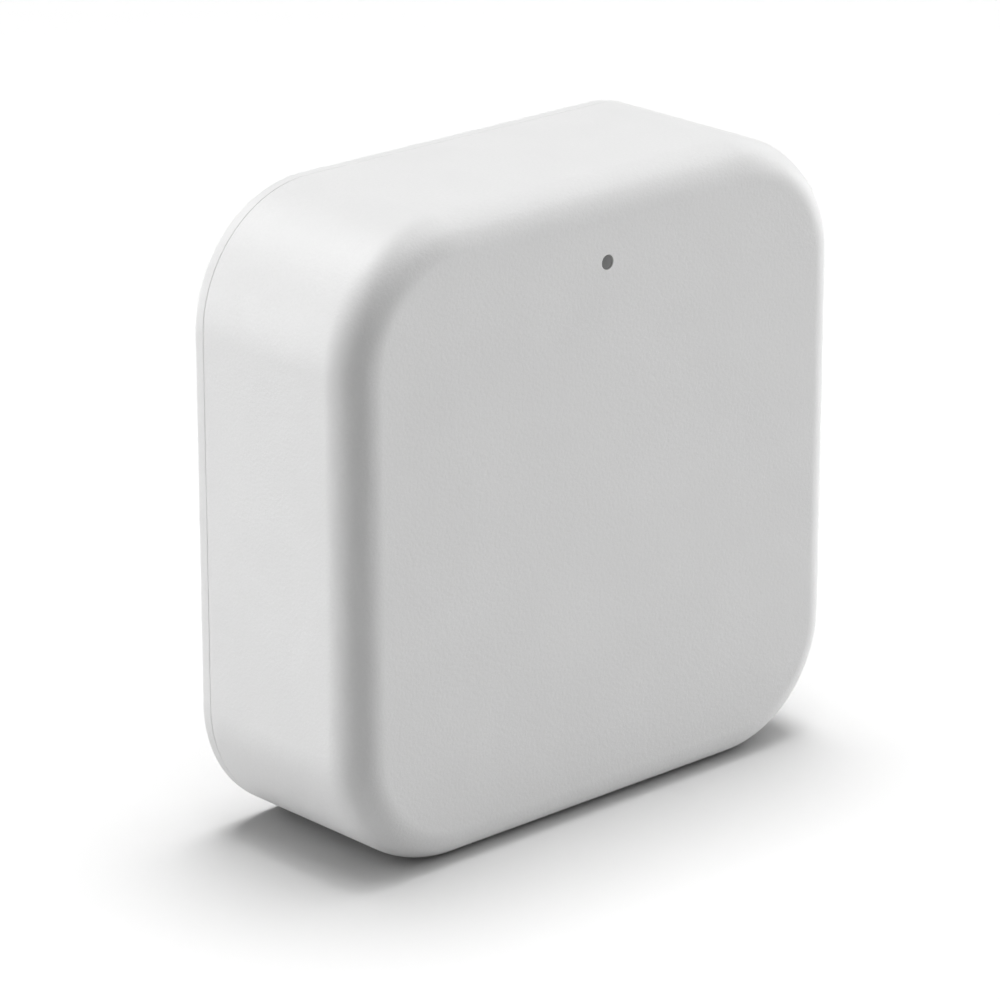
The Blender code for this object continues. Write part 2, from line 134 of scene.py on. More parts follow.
# ---- meshes -------------------------------------------------------------------------------------
def new_object(name, bm):
    bmesh.ops.recalc_face_normals(bm, faces=bm.faces)
    mesh = bpy.data.meshes.new(name)
    bm.to_mesh(mesh)
    bm.free()
    piece = bpy.data.objects.new(name, mesh)
    bpy.context.scene.collection.objects.link(piece)
    return piece


def loft(name, rings):
    """A closed body through rings of (x, y, z) points, with a flat cap at each end."""
    bm = bmesh.new()
    loops = [[bm.verts.new(point) for point in ring] for ring in rings]
    count = len(loops[0])
    for near, far in zip(loops, loops[1:]):
        for i in range(count):
            bm.faces.new((near[i], near[(i + 1) % count], far[(i + 1) % count], far[i]))
    bm.faces.new(loops[0])
    bm.faces.new(loops[-1])
    return new_object(name, bm)


def at_depth(outline, y):
    return [(x, y, z) for x, z in outline]


def prism(name, outline, y0, y1):
    return loft(name, [at_depth(outline, y0), at_depth(outline, y1)])


def ring_loft(name, outline_at, section):
    """A tube-like body: a closed section of (growth, y) points carried round an outline."""
    bm = bmesh.new()
    loops = [[bm.verts.new(point) for point in at_depth(outline_at(growth), y)] for growth, y in section]
    count = len(loops[0])
    for near, far in zip(loops, loops[1:] + loops[:1]):
        for i in range(count):
            bm.faces.new((near[i], near[(i + 1) % count], far[(i + 1) % count], far[i]))
    return new_object(name, bm)


def soft_prism(name, outline_at, y0, y1, edge, steps=4):
    """A prism whose two ends are rounded by edge. outline_at takes the inset in metres."""
    rings = [(edge * (1 - math.sin(a)), edge * (1 - math.cos(a)))
             for a in (math.radians(90 * i / steps) for i in range(steps + 1))]
    points = [(inset, y0 + depth) for inset, depth in rings]
    points += [(inset, y1 - depth) for inset, depth in reversed(rings)]
    return loft(name, [at_depth(outline_at(inset), y) for inset, y in points])


def turned(name, place, profile, steps=56, radius_at=None):
    """Spin a (radius, y) profile about a line along Y; radius_at(radius, y, turn) may shape each point."""
    bm = bmesh.new()
    loops = []
    for radius, y in profile:
        if radius == 0:
            loops.append([bm.verts.new((place[0], y, place[1]))])
            continue
        loop = []
        for step in range(steps):
            turn = step / steps
            reach = radius_at(radius, y, turn) if radius_at else radius
            angle = 2 * math.pi * turn
            x, z = place[0] + reach * math.cos(angle), place[1] + reach * math.sin(angle)
            loop.append(bm.verts.new((x, y, z)))
        loops.append(loop)
    pairs = list(zip(loops, loops[1:]))
    if profile[0][0] and profile[-1][0]:
        pairs.append((loops[-1], loops[0]))
    for near, far in pairs:
        for i in range(steps):
            corners = [near[i % len(near)], near[(i + 1) % steps % len(near)],
                       far[(i + 1) % steps % len(far)], far[i % len(far)]]
            bm.faces.new(list(dict.fromkeys(corners)))
    return new_object(name, bm)


def join_pieces(name, pieces):
    """Several loose bodies as one object."""
    bm = bmesh.new()
    for piece in pieces:
        bm.from_mesh(piece.data)
        bpy.data.objects.remove(piece)
    return new_object(name, bm)


def flared_tool(name, outline_at, y_inner, y_face, lip=MOUTH_ROUND):
    """A cutter whose mouth opens in a small convex round at the face. outline_at takes the growth."""
    toward = 1 if y_face > y_inner else -1
    rings = [at_depth(outline_at(0), y_inner)]
    for angle in FLARE:
        growth, y = lip * (1 - math.cos(angle)), y_face + toward * lip * (math.sin(angle) - 1)
        rings.append(at_depth(outline_at(growth), y))
    rings.append(at_depth(outline_at(lip), y_face + toward * CUT_PAST))
    return loft(name, rings)


def flared_hole(place, radius, y_inner, y_face, lip=MOUTH_ROUND):
    return flared_tool("flared_hole", lambda growth: circle(place, radius + growth), y_inner, y_face, lip)


def apply_modifiers(piece):
    depsgraph = bpy.context.evaluated_depsgraph_get()
    mesh = bpy.data.meshes.new_from_object(piece.evaluated_get(depsgraph))
    piece.modifiers.clear()
    piece.data = mesh


def boolean(piece, operation, *tools):
    """Join or cut with each tool in turn; the tools are used up."""
    for tool in tools:
        step = piece.modifiers.new("step", "BOOLEAN")
        step.operation = operation
        step.solver = "EXACT"
        step.object = tool
        apply_modifiers(piece)
        bpy.data.objects.remove(tool)


def soften(piece, sharp_angle=30):
    """Smooth shading that keeps real edges and lets flat faces stay flat."""
    piece.data.shade_smooth()
    piece.data.set_sharp_from_angle(angle=math.radians(sharp_angle))
    weighted = piece.modifiers.new("weighted_normals", "WEIGHTED_NORMAL")
    weighted.keep_sharp = True
    weighted.weight = 80
    return piece


# ---- materials ----------------------------------------------------------------------------------
def grey(value):
    return (value, value, value)


class Graph:
    """A material's node tree, with short ways to add and join nodes."""

    def __init__(self, name):
        self.material = bpy.data.materials.new(name)
        self.material.use_nodes = True
        self.nodes = self.material.node_tree.nodes
        self.links = self.material.node_tree.links
        self.shader = self.nodes["Principled BSDF"]
        self.place = self.add("ShaderNodeTexCoord").outputs["Object"]

    def add(self, kind, **settings):
        node = self.nodes.new(kind)
        for key, value in settings.items():
            setattr(node, key, value)
        return node

    def join(self, output, socket):
        self.links.new(output, socket)

    def noise(self, scale, detail=2.0, roughness=0.5):
        node = self.add("ShaderNodeTexNoise")
        node.inputs["Scale"].default_value = scale
        node.inputs["Detail"].default_value = detail
        node.inputs["Roughness"].default_value = roughness
        self.join(self.place, node.inputs["Vector"])
        return node.outputs["Fac"]

    def ramp(self, value, low, high, start=0.0, end=1.0):
        """Map value from start..end to low..high."""
        node = self.add("ShaderNodeMapRange")
        node.inputs["From Min"].default_value = start
        node.inputs["From Max"].default_value = end
        node.inputs["To Min"].default_value = low
        node.inputs["To Max"].default_value = high
        self.join(value, node.inputs["Value"])
        return node.outputs["Result"]

    def mix(self, factor, first, second):
        """Blend two colours, each a tuple or an output."""
        node = self.add("ShaderNodeMix", data_type="RGBA")
        self.join(factor, node.inputs["Factor"])
        for socket, colour in ((node.inputs[6], first), (node.inputs[7], second)):
            if isinstance(colour, tuple):
                socket.default_value = (*colour, 1.0)
            else:
                self.join(colour, socket)
        return node.outputs[2]

    def math(self, operation, first, second):
        node = self.add("ShaderNodeMath", operation=operation)
        for socket, value in zip(node.inputs, (first, second)):
            if isinstance(value, float):
                socket.default_value = value
            else:
                self.join(value, socket)
        return node.outputs["Value"]

    def wear(self, start=0.53, end=0.62):
        """0 on flat ground, 1 on convex edges."""
        return self.ramp(self.add("ShaderNodeNewGeometry").outputs["Pointiness"], 0.0, 1.0, start, end)

    def bump(self, *layers):
        """Stack (height output, depth in metres) layers into one normal."""
        normal = None
        for height, depth in layers:
            node = self.add("ShaderNodeBump")
            node.inputs["Strength"].default_value = 1.0
            node.inputs["Distance"].default_value = depth
            self.join(height, node.inputs["Height"])
            if normal is not None:
                self.join(normal, node.inputs["Normal"])
            normal = node.outputs["Normal"]
        self.join(normal, self.shader.inputs["Normal"])


def moulded_plastic(name, colour, roughness, grain_depth=0.000004, tint=0.02, edge_lift=0.04, specular=0.4):
    """Spark-textured moulding: a fine even grain, faint flow marks and, with edge_lift, polished edges."""
    graph = Graph(name)
    shade = tuple(channel * (1 - tint) for channel in colour)
    body = graph.mix(graph.noise(90.0, 3.0), shade, colour)
    speck = graph.ramp(graph.noise(3200.0, 2.0), 0.0, 1.0, 0.35, 0.75)
    body = graph.mix(speck, body, tuple(channel * (1 - tint * 0.8) for channel in colour))
    rough = graph.ramp(graph.noise(420.0, 3.0), roughness - 0.05, roughness + 0.06)
    if edge_lift:
        worn = graph.math("MULTIPLY", graph.wear(), graph.noise(700.0, 2.0))
        body = graph.mix(worn, body, tuple(min(1.0, channel + edge_lift) for channel in colour))
        rough = graph.math("SUBTRACT", rough, graph.math("MULTIPLY", worn, 0.12))
    graph.join(body, graph.shader.inputs["Base Color"])
    graph.join(rough, graph.shader.inputs["Roughness"])
    graph.shader.inputs["Specular IOR Level"].default_value = specular
    graph.bump((graph.noise(3000.0, 3.0, 0.6), grain_depth), (graph.noise(160.0, 1.0), grain_depth * 0.8))
    return graph.material


def machined_metal(name, colour, roughness, scale=1800.0, depth=0.000002):
    """Plated or rolled metal with faint drawing marks, dulled patches and brighter edges."""
    graph = Graph(name)
    dull = tuple(channel * 0.82 for channel in colour)
    body = graph.mix(graph.noise(300.0, 4.0), dull, colour)
    worn = graph.math("MULTIPLY", graph.wear(), graph.noise(900.0, 2.0))
    bright = tuple(min(1.0, channel * 1.15) for channel in colour)
    graph.join(graph.mix(worn, body, bright), graph.shader.inputs["Base Color"])
    graph.shader.inputs["Metallic"].default_value = 1.0
    graph.join(graph.ramp(graph.noise(scale / 3, 3.0), roughness - 0.08, roughness + 0.10),
               graph.shader.inputs["Roughness"])
    graph.bump((graph.noise(scale, 2.0), depth))
    return graph.material


def frosted_guide(name):
    """Grey frosted acrylic: light sinks in a little, with a soft shine on top."""
    graph = Graph(name)
    body = graph.mix(graph.noise(900.0, 3.0), grey(0.15), grey(0.19))
    graph.join(body, graph.shader.inputs["Base Color"])
    graph.join(graph.ramp(graph.noise(2500.0, 2.0), 0.22, 0.38), graph.shader.inputs["Roughness"])
    graph.shader.inputs["Transmission Weight"].default_value = 0.25
    graph.shader.inputs["IOR"].default_value = 1.49
    graph.bump((graph.noise(5000.0, 2.0), 0.000003))
    return graph.material


def solder_mask(name, colour, raised):
    """Lacquered board: paler where copper runs lie under the lacquer."""
    graph = Graph(name)
    runs = graph.add("ShaderNodeTexVoronoi", feature="DISTANCE_TO_EDGE")
    runs.inputs["Scale"].default_value = 420.0
    runs.inputs["Randomness"].default_value = 0.8
    graph.join(graph.place, runs.inputs["Vector"])
    copper = graph.ramp(runs.outputs["Distance"], 1.0, 0.0, 0.05, 0.09)
    mottled = graph.mix(graph.noise(160.0, 3.0), colour, tuple(channel * 1.25 for channel in colour))
    graph.join(graph.mix(copper, mottled, raised), graph.shader.inputs["Base Color"])
    graph.join(graph.ramp(graph.noise(700.0, 3.0), 0.28, 0.46), graph.shader.inputs["Roughness"])
    graph.bump((copper, 0.000012), (graph.noise(3000.0, 2.0), 0.000002))
    return graph.material


def finish_with(piece, material):
    piece.data.materials.clear()
    piece.data.materials.append(material)


# ---- front shell --------------------------------------------------------------------------------
def soft_corner(reach_in, reach_back, steps):
    """(inset, depth) along the front edge, from the front face round to the side wall."""
    turns = [math.radians(90 * step / steps) for step in range(steps + 1)]
    return [(reach_in * (1 - math.sin(a)), reach_back * (1 - math.cos(a))) for a in turns]


# Screw bosses in the front shell, as (radius, top y, bore radius, y where the bore ends).
COVER_BOSS = (0.003, 0.0086, 0.0013, 0.0)
BOARD_BOSS = (0.0024, 0.0017, 0.0011, -0.005)
BOSS_ROOT_Y = FRONT_Y + WALL - SINK
FRONT_FLAT = 0.0003         # a ring beside the soft edge that keeps the flat face flat in the shading
WEB_HALF = 0.0006           # half the thickness of the web that ties a cover boss to its corner
WEB_REACH = 0.0066
WEB_TOP_Y = 0.006
LIGHT_SOCKET_R = 0.003      # the collar inside the front wall that holds the light pipe
LIGHT_SOCKET_Y = -0.004
LIGHT_BORE_R = 0.0018
LIGHT_HOLE_R = 0.0008


def boss_web(place):
    """A thin rib from a cover boss out toward the nearest corner."""
    start = Vector(place)
    outward = Vector((math.copysign(1, place[0]), math.copysign(1, place[1] - MID_Z))).normalized()
    across = Vector((-outward.y, outward.x)) * WEB_HALF
    reach = outward * WEB_REACH
    corners = [start + across, start - across, start - across + reach, start + across + reach]
    return prism("web", [tuple(point) for point in corners], BOSS_ROOT_Y, WEB_TOP_Y)


def add_boss(shell, place, boss, *webs):
    radius, top_y, bore_r, bore_end_y = boss
    boolean(shell, "UNION", prism("boss", circle(place, radius), BOSS_ROOT_Y, top_y), *webs)
    boolean(shell, "DIFFERENCE", flared_hole(place, bore_r, bore_end_y, top_y))


def make_front_shell():
    rim = SEAM_Y - SEAM_HALF
    inner_in, inner_back = FRONT_REACH - WALL / 2, SIDE_REACH - WALL
    profile = [(CAP_INSET, FRONT_Y), (FRONT_REACH + FRONT_FLAT, FRONT_Y)]
    profile += [(inset, FRONT_Y + depth) for inset, depth in soft_corner(FRONT_REACH, SIDE_REACH, 26)]
    profile += [(0.0, 0.0)]
    profile += arc((SEAM_EDGE, rim - SEAM_EDGE), SEAM_EDGE, 180, 90)
    profile += arc((WALL - SEAM_EDGE, rim - SEAM_EDGE), SEAM_EDGE, 90, 0)
    profile += [(WALL + inset, FRONT_Y + WALL + depth)
                for inset, depth in reversed(soft_corner(inner_in, inner_back, 10))]
    profile += [(CAP_INSET, FRONT_Y + WALL)]
    shell = loft("housing_front", [at_depth(housing_ring(inset), y) for inset, y in profile])

    for number in range(1, 5):
        place = middle(f"cover_screw_{number}")
        add_boss(shell, place, COVER_BOSS, boss_web(place))
        add_boss(shell, middle(f"board_screw_{number}"), BOARD_BOSS)

    light = middle("light_pipe")
    inner_face_y = FRONT_Y + WALL
    boolean(shell, "UNION", prism("socket", circle(light, LIGHT_SOCKET_R), BOSS_ROOT_Y, LIGHT_SOCKET_Y))
    boolean(shell, "DIFFERENCE", flared_hole(light, LIGHT_BORE_R, inner_face_y, LIGHT_SOCKET_Y, 0.0003),
            flared_hole(light, LIGHT_HOLE_R, inner_face_y + CUT_PAST, FRONT_Y, 0.00007))
    return soften(shell)


# ---- rear cover ---------------------------------------------------------------------------------
REAR_FLAT = 0.0004          # the same kind of ring beside the rear edge
LIP_GAP = 0.0003            # clearance between the cover's locating lip and the shell
LIP_WALL = 0.0012
LIP_LEAD = 0.0003           # chamfer that leads the lip into the shell
SEAT_R = 0.005              # screw seats: a pad inside, a counterbore outside
SEAT_DEPTH = 0.0036
SEAT_COVER = 0.001          # how far the seat's pad stops short of the outer face
COUNTERBORE_R = 0.0026
COUNTERBORE_DEPTH = 0.002
SCREW_HOLE_R = 0.0013
OPENING_GAP = 0.0003        # play round the inlet and round the label
PORT_BEVEL = 0.0007
PORT_BEVEL_DEPTH = 0.0005
BUTTON_HOLE_R = 0.0021
VENT_ROWS = 5
VENT_SLOT = (0.020, 0.0012)
VENT_FIRST = 0.0165         # height of the lowest vent above the middle
VENT_PITCH = 0.0027
LABEL_BAY_DEPTH = 0.0006
LABEL_BAY_CORNER = 0.0015


def make_rear_cover():
    rim = SEAM_Y + SEAM_HALF
    lip_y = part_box("rear_cover")[0].y
    inner_y = REAR_Y - WALL
    lip_out, lip_in = WALL + LIP_GAP, WALL + LIP_GAP + LIP_WALL
    profile = [(CAP_INSET, REAR_Y), (REAR_EDGE + REAR_FLAT, REAR_Y)]
    profile += arc((REAR_EDGE, REAR_Y - REAR_EDGE), REAR_EDGE, 90, 180, 8)
    profile += arc((SEAM_EDGE, rim + SEAM_EDGE), SEAM_EDGE, 180, 270)
    profile += [(lip_out, rim), (lip_out, lip_y + LIP_LEAD), (lip_out + LIP_LEAD, lip_y),
                (lip_in - LIP_LEAD, lip_y), (lip_in, lip_y + LIP_LEAD), (lip_in, inner_y),
                (CAP_INSET, inner_y)]
    cover = loft("housing_rear", [at_depth(housing_ring(inset), y) for inset, y in profile])

    for number in range(1, 5):
        place = middle(f"cover_screw_{number}")
        seat_y = REAR_Y - SEAT_COVER
        boolean(cover, "UNION", prism("seat", circle(place, SEAT_R), REAR_Y - SEAT_DEPTH, seat_y))
        boolean(cover, "DIFFERENCE",
                flared_hole(place, COUNTERBORE_R, REAR_Y - COUNTERBORE_DEPTH, REAR_Y),
                prism("screw_hole", circle(place, SCREW_HOLE_R), lip_y - WALL, seat_y))

    port, port_size = middle("usb_shell"), span("usb_shell", OPENING_GAP)
    bevel_size = grown(port_size, PORT_BEVEL)
    boolean(cover, "DIFFERENCE", prism("port", stadium(port, port_size), lip_y, REAR_Y + WALL),
            flared_tool("port_bevel", lambda growth: stadium(port, grown(bevel_size, growth)),
                        REAR_Y - PORT_BEVEL_DEPTH, REAR_Y))
    boolean(cover, "DIFFERENCE", flared_hole(middle("reset_button"), BUTTON_HOLE_R, lip_y, REAR_Y, 0.00025))

    for row in range(VENT_ROWS):
        place = (0.0, MID_Z + VENT_FIRST + row * VENT_PITCH)
        boolean(cover, "DIFFERENCE",
                flared_tool("vent", lambda growth: stadium(place, grown(VENT_SLOT, growth)), lip_y, REAR_Y))

    label, bay_size = middle("rear_label"), span("rear_label", OPENING_GAP)

    def bay_at(growth):
        return rounded_rectangle(label, grown(bay_size, growth), LABEL_BAY_CORNER + growth)

    boolean(cover, "DIFFERENCE",
            flared_tool("label_bay", bay_at, REAR_Y - LABEL_BAY_DEPTH, REAR_Y, 0.00015))
    return soften(cover)


# ---- status light -------------------------------------------------------------------------------
def make_light_pipe():
    """A frosted guide whose slightly domed tip sits just below the front face."""
    low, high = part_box("light_pipe")
    body_r = (high.x - low.x) / 2
    tip_r, sag, edge, fillet = 0.00077, 0.00005, 0.00005, 0.0002
    recess, neck_gap, flat = 0.00006, 0.0003, 0.00006
    neck_y = FRONT_Y + WALL + neck_gap
    face_y = FRONT_Y + recess
    profile = [((tip_r - edge) * t / 6, face_y + sag * (t / 6) ** 2) for t in range(7)]
    profile += [(tip_r, face_y + sag + edge), (tip_r, neck_y - fillet), (tip_r + flat, neck_y - flat),
                (tip_r + fillet, neck_y), (body_r - fillet, neck_y)]
    profile += arc((body_r - fillet, neck_y + fillet), fillet, 270, 360, 4)[1:]
    profile += arc((body_r - fillet, high.y - fillet), fillet, 0, 90, 4)
    profile += [(0, high.y)]
    return soften(turned("status_light_pipe", middle("light_pipe"), profile))


# ---- power receptacle ---------------------------------------------------------------------------
def make_port_shell():
    """Drawn steel sleeve with a rounded mouth, a folded seam below and two spring windows."""
    low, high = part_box("usb_shell")
    place, size = middle("usb_shell"), span("usb_shell")
    sheet, edge, seam_half, seam_past = 0.00028, 0.0001, 0.00004, 0.0002
    section = [(0.0, low.y), (0.0, high.y - edge)]
    section += [(-edge + edge * math.cos(a), high.y - edge + edge * math.sin(a)) for a in RISE[1:]]
    section += [(-sheet + edge - edge * math.sin(a), high.y - edge + edge * math.cos(a)) for a in RISE]
    section += [(-sheet, low.y)]
    sleeve = ring_loft("port_sleeve", lambda growth: stadium(place, grown(size, growth)), section)
    left, right = place[0] - seam_half, place[0] + seam_half
    bottom, top = low.z - seam_past, low.z + sheet + seam_past
    seam = [(left, bottom), (right, bottom), (right, top), (left, top)]
    boolean(sleeve, "DIFFERENCE", prism("seam", seam, low.y + 0.001, high.y + CUT_PAST))
    for side in (-1, 1):
        window = rounded_rectangle((place[0] + side * 0.0022, place[1]), (0.0009, 2 * size[1]), 0.0002)
        boolean(sleeve, "DIFFERENCE", prism("spring_window", window, high.y - 0.0042, high.y - 0.0018))
    return soften(sleeve)


def make_port_core():
    """Moulded insulator with the thin tongue that carries the contacts."""
    low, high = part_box("usb_insulator")
    place, size = middle("usb_insulator"), span("usb_insulator")
    step_y, tongue, collar_height = low.y + 0.0016, (0.00669, 0.0007), 0.0012

    def base_at(inset):
        return stadium(place, grown(size, -inset))

    def tongue_at(inset):
        return rounded_rectangle(place, grown(tongue, -inset), 0.00033 - inset, 5)

    core = soft_prism("port_core", base_at, low.y, step_y, 0.0001)
    collar = rounded_rectangle(place, (tongue[0], collar_height), 0.0003)
    boolean(core, "UNION", prism("collar", collar, step_y - 0.0002, step_y + 0.0014),
            soft_prism("tongue", tongue_at, step_y - SINK, high.y, 0.00022))
    return soften(core)


def make_port_contacts():
    """Two rows of twelve thin plated strips along the tongue."""
    place = middle("usb_insulator")
    pitch, width, length, lift = 0.0005, 0.00026, 0.0042, 0.000025
    end_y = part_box("usb_insulator")[1].y - 0.0005
    strips = []
    for side in (-1, 1):
        surface = place[1] + side * 0.00035
        for number in range(12):
            x = place[0] + (number - 5.5) * pitch
            strip = rounded_rectangle((x, surface), (width, 2 * lift), lift * 0.9, 2)
            strips.append(prism("strip", strip, end_y - length, end_y))
    return soften(join_pieces("port_contacts", strips))


# ---- reset button -------------------------------------------------------------------------------
def make_button():
    """The dished cap in the rear cover, its retaining flange and the post that meets the switch."""
    low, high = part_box("reset_button")
    flange_r, cap_r, post_r = (high.x - low.x) / 2, 0.0018, 0.0012
    flange_gap, flange_t, edge = 0.0003, 0.001, 0.0002
    flange_rear = REAR_Y - WALL - flange_gap
    flange_front = flange_rear - flange_t
    profile = [(0, low.y), (post_r - edge, low.y)]
    profile += arc((post_r - edge, low.y + edge), edge, 270, 360, 4)[1:]
    profile += [(post_r, flange_front - edge)]
    profile += arc((post_r + edge, flange_front - edge), edge, 180, 90, 4)[1:]
    profile += [(flange_r - edge, flange_front)]
    profile += arc((flange_r - edge, flange_front + edge), edge, 270, 360, 4)[1:]
    profile += arc((flange_r - edge, flange_rear - edge), edge, 0, 90, 4)
    profile += [(cap_r + edge, flange_rear)]
    profile += arc((cap_r + edge, flange_rear + edge), edge, 270, 180, 4)[1:]
    profile += arc((cap_r - edge, high.y - edge), edge, 0, 90, 5)
    dish_r, dish = cap_r - 0.00035, 0.0003
    profile += [(dish_r * math.cos(a), high.y - dish * math.sin(a) ** 1.5) for a in RISE[1:-1]]
    profile += [(0, high.y - dish)]
    return soften(turned("reset_button_cap", middle("reset_button"), profile), 40)


# ---- screws -------------------------------------------------------------------------------------
def cross_outline(place, reach, half):
    """A cross with its four inner corners, for the driver recess."""
    corners = [(reach, -half), (reach, half), (half, half)]
    points = []
    for turn in range(4):
        for a, b in corners:
            for _ in range(turn):
                a, b = -b, a
            points.append((place[0] + a, place[1] + b))
    return points


def make_thread_screw(name, node, head_t, shank_r):
    """Pan-head thread-forming screw with a helical thread, a cross recess and a cut-off point."""
    low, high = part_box(node)
    place, head_r = middle(node), (high.x - low.x) / 2
    seat_y, tip_y = high.y - head_t, low.y
    pitch, core_r, lead, neck = 0.0008, shank_r * 0.76, 0.0013, 0.0006
    steps_per_turn, flank, point = 10, 0.22, 0.55

    def threaded(radius, y, turn):
        if not (tip_y < y < seat_y - neck) or radius > shank_r:
            return radius
        phase = ((y / pitch) - turn) % 1.0
        crest = max(0.0, 1 - abs(phase - 0.5) / flank)
        return radius + (shank_r - core_r) * crest * min(1.0, (y - tip_y) / lead)

    profile = [(0, tip_y), (core_r * point, tip_y)]
    count = int((seat_y - 0.0003 - tip_y) / (pitch / steps_per_turn))
    for step in range(1, count + 1):
        y = tip_y + step * pitch / steps_per_turn
        profile.append((core_r * (point + (1 - point) * min(1.0, (y - tip_y) / lead)), y))
    profile += [(core_r + 0.0001, seat_y - 0.0001), (core_r + 0.0002, seat_y), (head_r - 0.00008, seat_y),
                (head_r, seat_y + 0.00008), (head_r, seat_y + head_t * 0.42)]
    for angle in (math.radians(9 * i) for i in range(1, 10)):
        profile.append((head_r * (0.62 + 0.38 * math.cos(angle)),
                        seat_y + head_t * (0.42 + 0.58 * math.sin(angle))))
    profile += [(head_r * 0.55, high.y), (0, high.y)]
    body = turned(name, place, profile, 40, threaded)

    # The recess tapers: (reach, half width, rise above the head's top), as shares of the head.
    sections = [(0.36, 0.10, -0.68), (0.56, 0.15, -0.06), (0.56 * 1.1, 0.19, 0.2)]
    rings = [at_depth(cross_outline(place, head_r * reach, head_r * half), high.y + head_t * rise)
             for reach, half, rise in sections]
    boolean(body, "DIFFERENCE", loft("recess", rings))
    return soften(body)


# ---- label --------------------------------------------------------------------------------------
def make_label():
    """The blank film in its bay."""
    low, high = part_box("rear_label")
    place, size = middle("rear_label"), span("rear_label")

    def outline_at(inset):
        return rounded_rectangle(place, grown(size, -inset), 0.0012 - inset)

    return soften(soft_prism("blank_label", outline_at, low.y, high.y, 0.00005, 3))


def make_label_border():
    """A thin printed frame near the label's edge; nothing is written inside it."""
    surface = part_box("rear_label")[1].y
    place, size = middle("rear_label"), span("rear_label", -0.001)
    line, ink = 0.00018, 0.00001
    section = [(0.0, surface - ink), (0.0, surface + ink), (-line, surface + ink), (-line, surface - ink)]

    def outline_at(growth):
        return rounded_rectangle(place, grown(size, growth), 0.0008 + growth)

    return soften(ring_loft("label_frame_line", outline_at, section))


# ---- camera and lights --------------------------------------------------------------------------
CAMERA_AZIMUTH = -0.745     # radians from the front, toward the hub's left side
CAMERA_ELEVATION = 0.341
CAMERA_DISTANCE = 0.5445
CAMERA_LENS = 183.5
CAMERA_RIGHT = -0.00266     # small offsets that centre the hub as in the photo
CAMERA_UP = -0.00262


def direction(azimuth, elevation):
    """Unit vector from the hub toward a camera or a light. Azimuth 0 is the front, a quarter turn is +X."""
    level = math.cos(elevation)
    return Vector((math.sin(azimuth) * level, -math.cos(azimuth) * level, math.sin(elevation)))


def add_looking(name, data, location, back):
    """An object for a camera or a light that looks along the reverse of back."""
    thing = bpy.data.objects.new(name, data)
    bpy.context.scene.collection.objects.link(thing)
    thing.location = location
    thing.rotation_mode = "QUATERNION"
    thing.rotation_quaternion = (-back).to_track_quat("-Z", "Y")
    return thing


def make_camera():
    back = direction(CAMERA_AZIMUTH, CAMERA_ELEVATION)
    right = Vector((math.cos(CAMERA_AZIMUTH), math.sin(CAMERA_AZIMUTH), 0))
    up = back.cross(right)
    data = bpy.data.cameras.new("photo_camera")
    data.lens = CAMERA_LENS
    data.clip_start, data.clip_end = 0.05, 20
    location = CENTRE + back * CAMERA_DISTANCE + right * CAMERA_RIGHT + up * CAMERA_UP
    bpy.context.scene.camera = add_looking("photo_camera", data, location, back)


# Soft round lights as {name: (azimuth, elevation, width, watts)}, with angles in degrees. Width and
# watts are for a light one metre away; make_lights raises both to suit LIGHT_DISTANCE.
HUB_LIGHTS = {
    "high_left_rear": (227, 64, 0.3, 5.90),
    "high_rear": (200, 50, 0.3, 3.75),
    "high_right_front": (47, 64, 0.3, 3.30),
    "low_left_rear": (218, 4, 0.2, 5.30),
    "low_right": (90, 4, 0.2, 2.40),
    "right": (90, 30, 0.4, 2.40),
    "right_front": (54, 15, 0.2, 4.30),
}
FLOOR_LIGHTS = {
    "overhead": (0, 90, 0.8, 6.65),
    "high_right_rear": (137, 78, 0.6, 7.40),
    "wide_right_front": (47, 60, 1.6, 5.50),
    "left_rear": (227, 40, 1.0, 1.25),
    "left_front": (317, 40, 1.0, 2.85),
}
LIGHT_DISTANCE = 2.0
FLOOR_HALF = 6


def make_lights(kind, rows, receivers):
    for name, (azimuth, elevation, width, watts) in rows.items():
        back = direction(math.radians(azimuth), math.radians(elevation))
        data = bpy.data.lights.new(f"{kind}_{name}", "AREA")
        data.shape = "DISK"
        data.size = width * LIGHT_DISTANCE
        data.energy = watts * LIGHT_DISTANCE ** 2
        light = add_looking(data.name, data, CENTRE + back * LIGHT_DISTANCE, back)
        light.visible_camera = False
        light.light_linking.receiver_collection = receivers


def make_floor():
    bm = bmesh.new()
    bmesh.ops.create_grid(bm, x_segments=1, y_segments=1, size=FLOOR_HALF)
    floor = new_object("floor", bm)
    graph = Graph("floor_paper")
    pale = graph.mix(graph.noise(9.0, 2.0), grey(0.60), grey(0.61))
    graph.join(pale, graph.shader.inputs["Base Color"])
    graph.shader.inputs["Roughness"].default_value = 0.9
    graph.shader.inputs["Specular IOR Level"].default_value = 0.1
    finish_with(floor, graph.material)
    return floor


def make_studio():
    """A pale floor with its own lights, lights for the hub alone, and white beyond the floor."""
    floor = make_floor()
    floor_only = bpy.data.collections.new("floor_only")
    floor_only.objects.link(floor)
    make_lights("floor_light", FLOOR_LIGHTS, floor_only)
    all_but_floor = bpy.data.collections.new("all_but_floor")
    all_but_floor.objects.link(floor)
    all_but_floor.collection_objects[0].light_linking.link_state = "EXCLUDE"
    make_lights("hub_light", HUB_LIGHTS, all_but_floor)

    world = bpy.data.worlds.new("studio")
    world.use_nodes = True
    world.node_tree.nodes["Background"].inputs["Color"].default_value = (1, 1, 1, 1)
    rays = world.cycles_visibility      # the white is there for the camera only and lights nothing
    rays.diffuse = rays.glossy = rays.transmission = rays.scatter = False
    bpy.context.scene.world = world
    bpy.context.scene.view_settings.view_transform = "Standard"


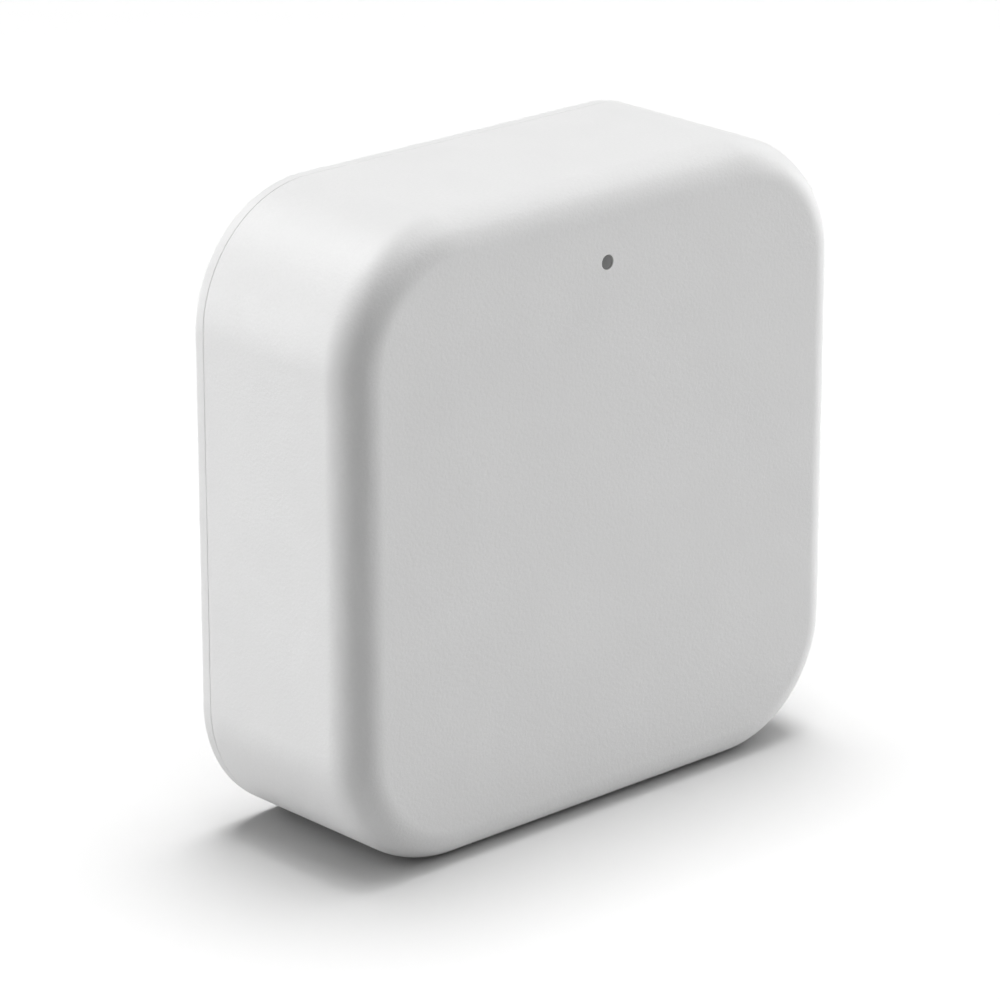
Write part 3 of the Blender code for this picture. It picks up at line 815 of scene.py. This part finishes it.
# ---- finishes and placing -----------------------------------------------------------------------
def make_finishes():
    """One material for each finish in the record, and two for details that only show here."""
    return {
        "white_plastic": moulded_plastic("white_housing", grey(0.68), 0.55, 0.00003, 0.08, 0.0),
        "grey_button": moulded_plastic("grey_button", (0.42, 0.425, 0.43), 0.45),
        "light_guide": frosted_guide("frosted_light_guide"),
        "black_rubber": moulded_plastic("black_rubber", grey(0.022), 0.78, 0.000006, 0.2, 0.02, 0.3),
        "black_plastic": moulded_plastic("black_plastic", (0.028, 0.028, 0.03), 0.45, 0.000003, 0.2, 0.03),
        "green_board": solder_mask("green_board", (0.012, 0.13, 0.05), (0.03, 0.21, 0.09)),
        "black_board": solder_mask("black_board", (0.015, 0.015, 0.018), (0.035, 0.035, 0.04)),
        "steel": machined_metal("drawn_steel", (0.60, 0.60, 0.61), 0.28),
        "zinc_screw": machined_metal("zinc_plating", (0.56, 0.56, 0.58), 0.32, 2600.0),
        "aluminium_can": machined_metal("aluminium_can", (0.76, 0.76, 0.77), 0.26),
        "ferrite": moulded_plastic("ferrite", (0.085, 0.085, 0.09), 0.62, 0.000008, 0.25, 0.05),
        "ceramic": moulded_plastic("ceramic", (0.60, 0.56, 0.48), 0.5, 0.000003, 0.08, 0.05),
        "tantalum": moulded_plastic("tantalum", (0.60, 0.38, 0.08), 0.5, 0.000003, 0.1, 0.05),
        "label_film": moulded_plastic("label_film", (0.70, 0.705, 0.71), 0.36, 0.000002, 0.03, 0.03),
        "led_body": moulded_plastic("led_body", (0.76, 0.74, 0.60), 0.3, 0.000002, 0.05, 0.05),
        "gold": machined_metal("gold_contact", (0.86, 0.62, 0.25), 0.22),
        "ink": moulded_plastic("grey_ink", (0.30, 0.30, 0.31), 0.5, 0.000002, 0.08, 0.02),
    }


def place_piece(piece, body, node):
    """A finished piece that stands for a CAD node and takes its finish."""
    add_detail(piece, body, FINISHES[SLOT_OF[node]])
    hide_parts(node)


def add_detail(piece, body, material):
    finish_with(piece, material)
    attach(piece, body)


# ---- putting it together ------------------------------------------------------------------------
make_camera()
make_studio()

SLOT_OF = {row["node"]: row["material_slot"] for row in frame["record"]["subparts"]}
FINISHES = make_finishes()
for node, piece in frame["nodes"].items():
    for slot in piece.material_slots:
        slot.material = FINISHES[SLOT_OF[node]]

place_piece(make_front_shell(), "root", "front_shell")
place_piece(make_rear_cover(), "root", "rear_cover")
place_piece(make_light_pipe(), "root", "light_pipe")
place_piece(make_port_shell(), "root", "usb_shell")
place_piece(make_port_core(), "root", "usb_insulator")
place_piece(make_button(), "reset_button", "reset_button")
place_piece(make_label(), "root", "rear_label")
for number in range(1, 5):
    node = f"cover_screw_{number}"
    place_piece(make_thread_screw(f"cover_fixing_{number}", node, 0.0012, 0.001), "root", node)
    node = f"board_screw_{number}"
    place_piece(make_thread_screw(f"board_fixing_{number}", node, 0.0011, 0.0008), "root", node)
add_detail(make_port_contacts(), "root", FINISHES["gold"])
add_detail(make_label_border(), "root", FINISHES["ink"])
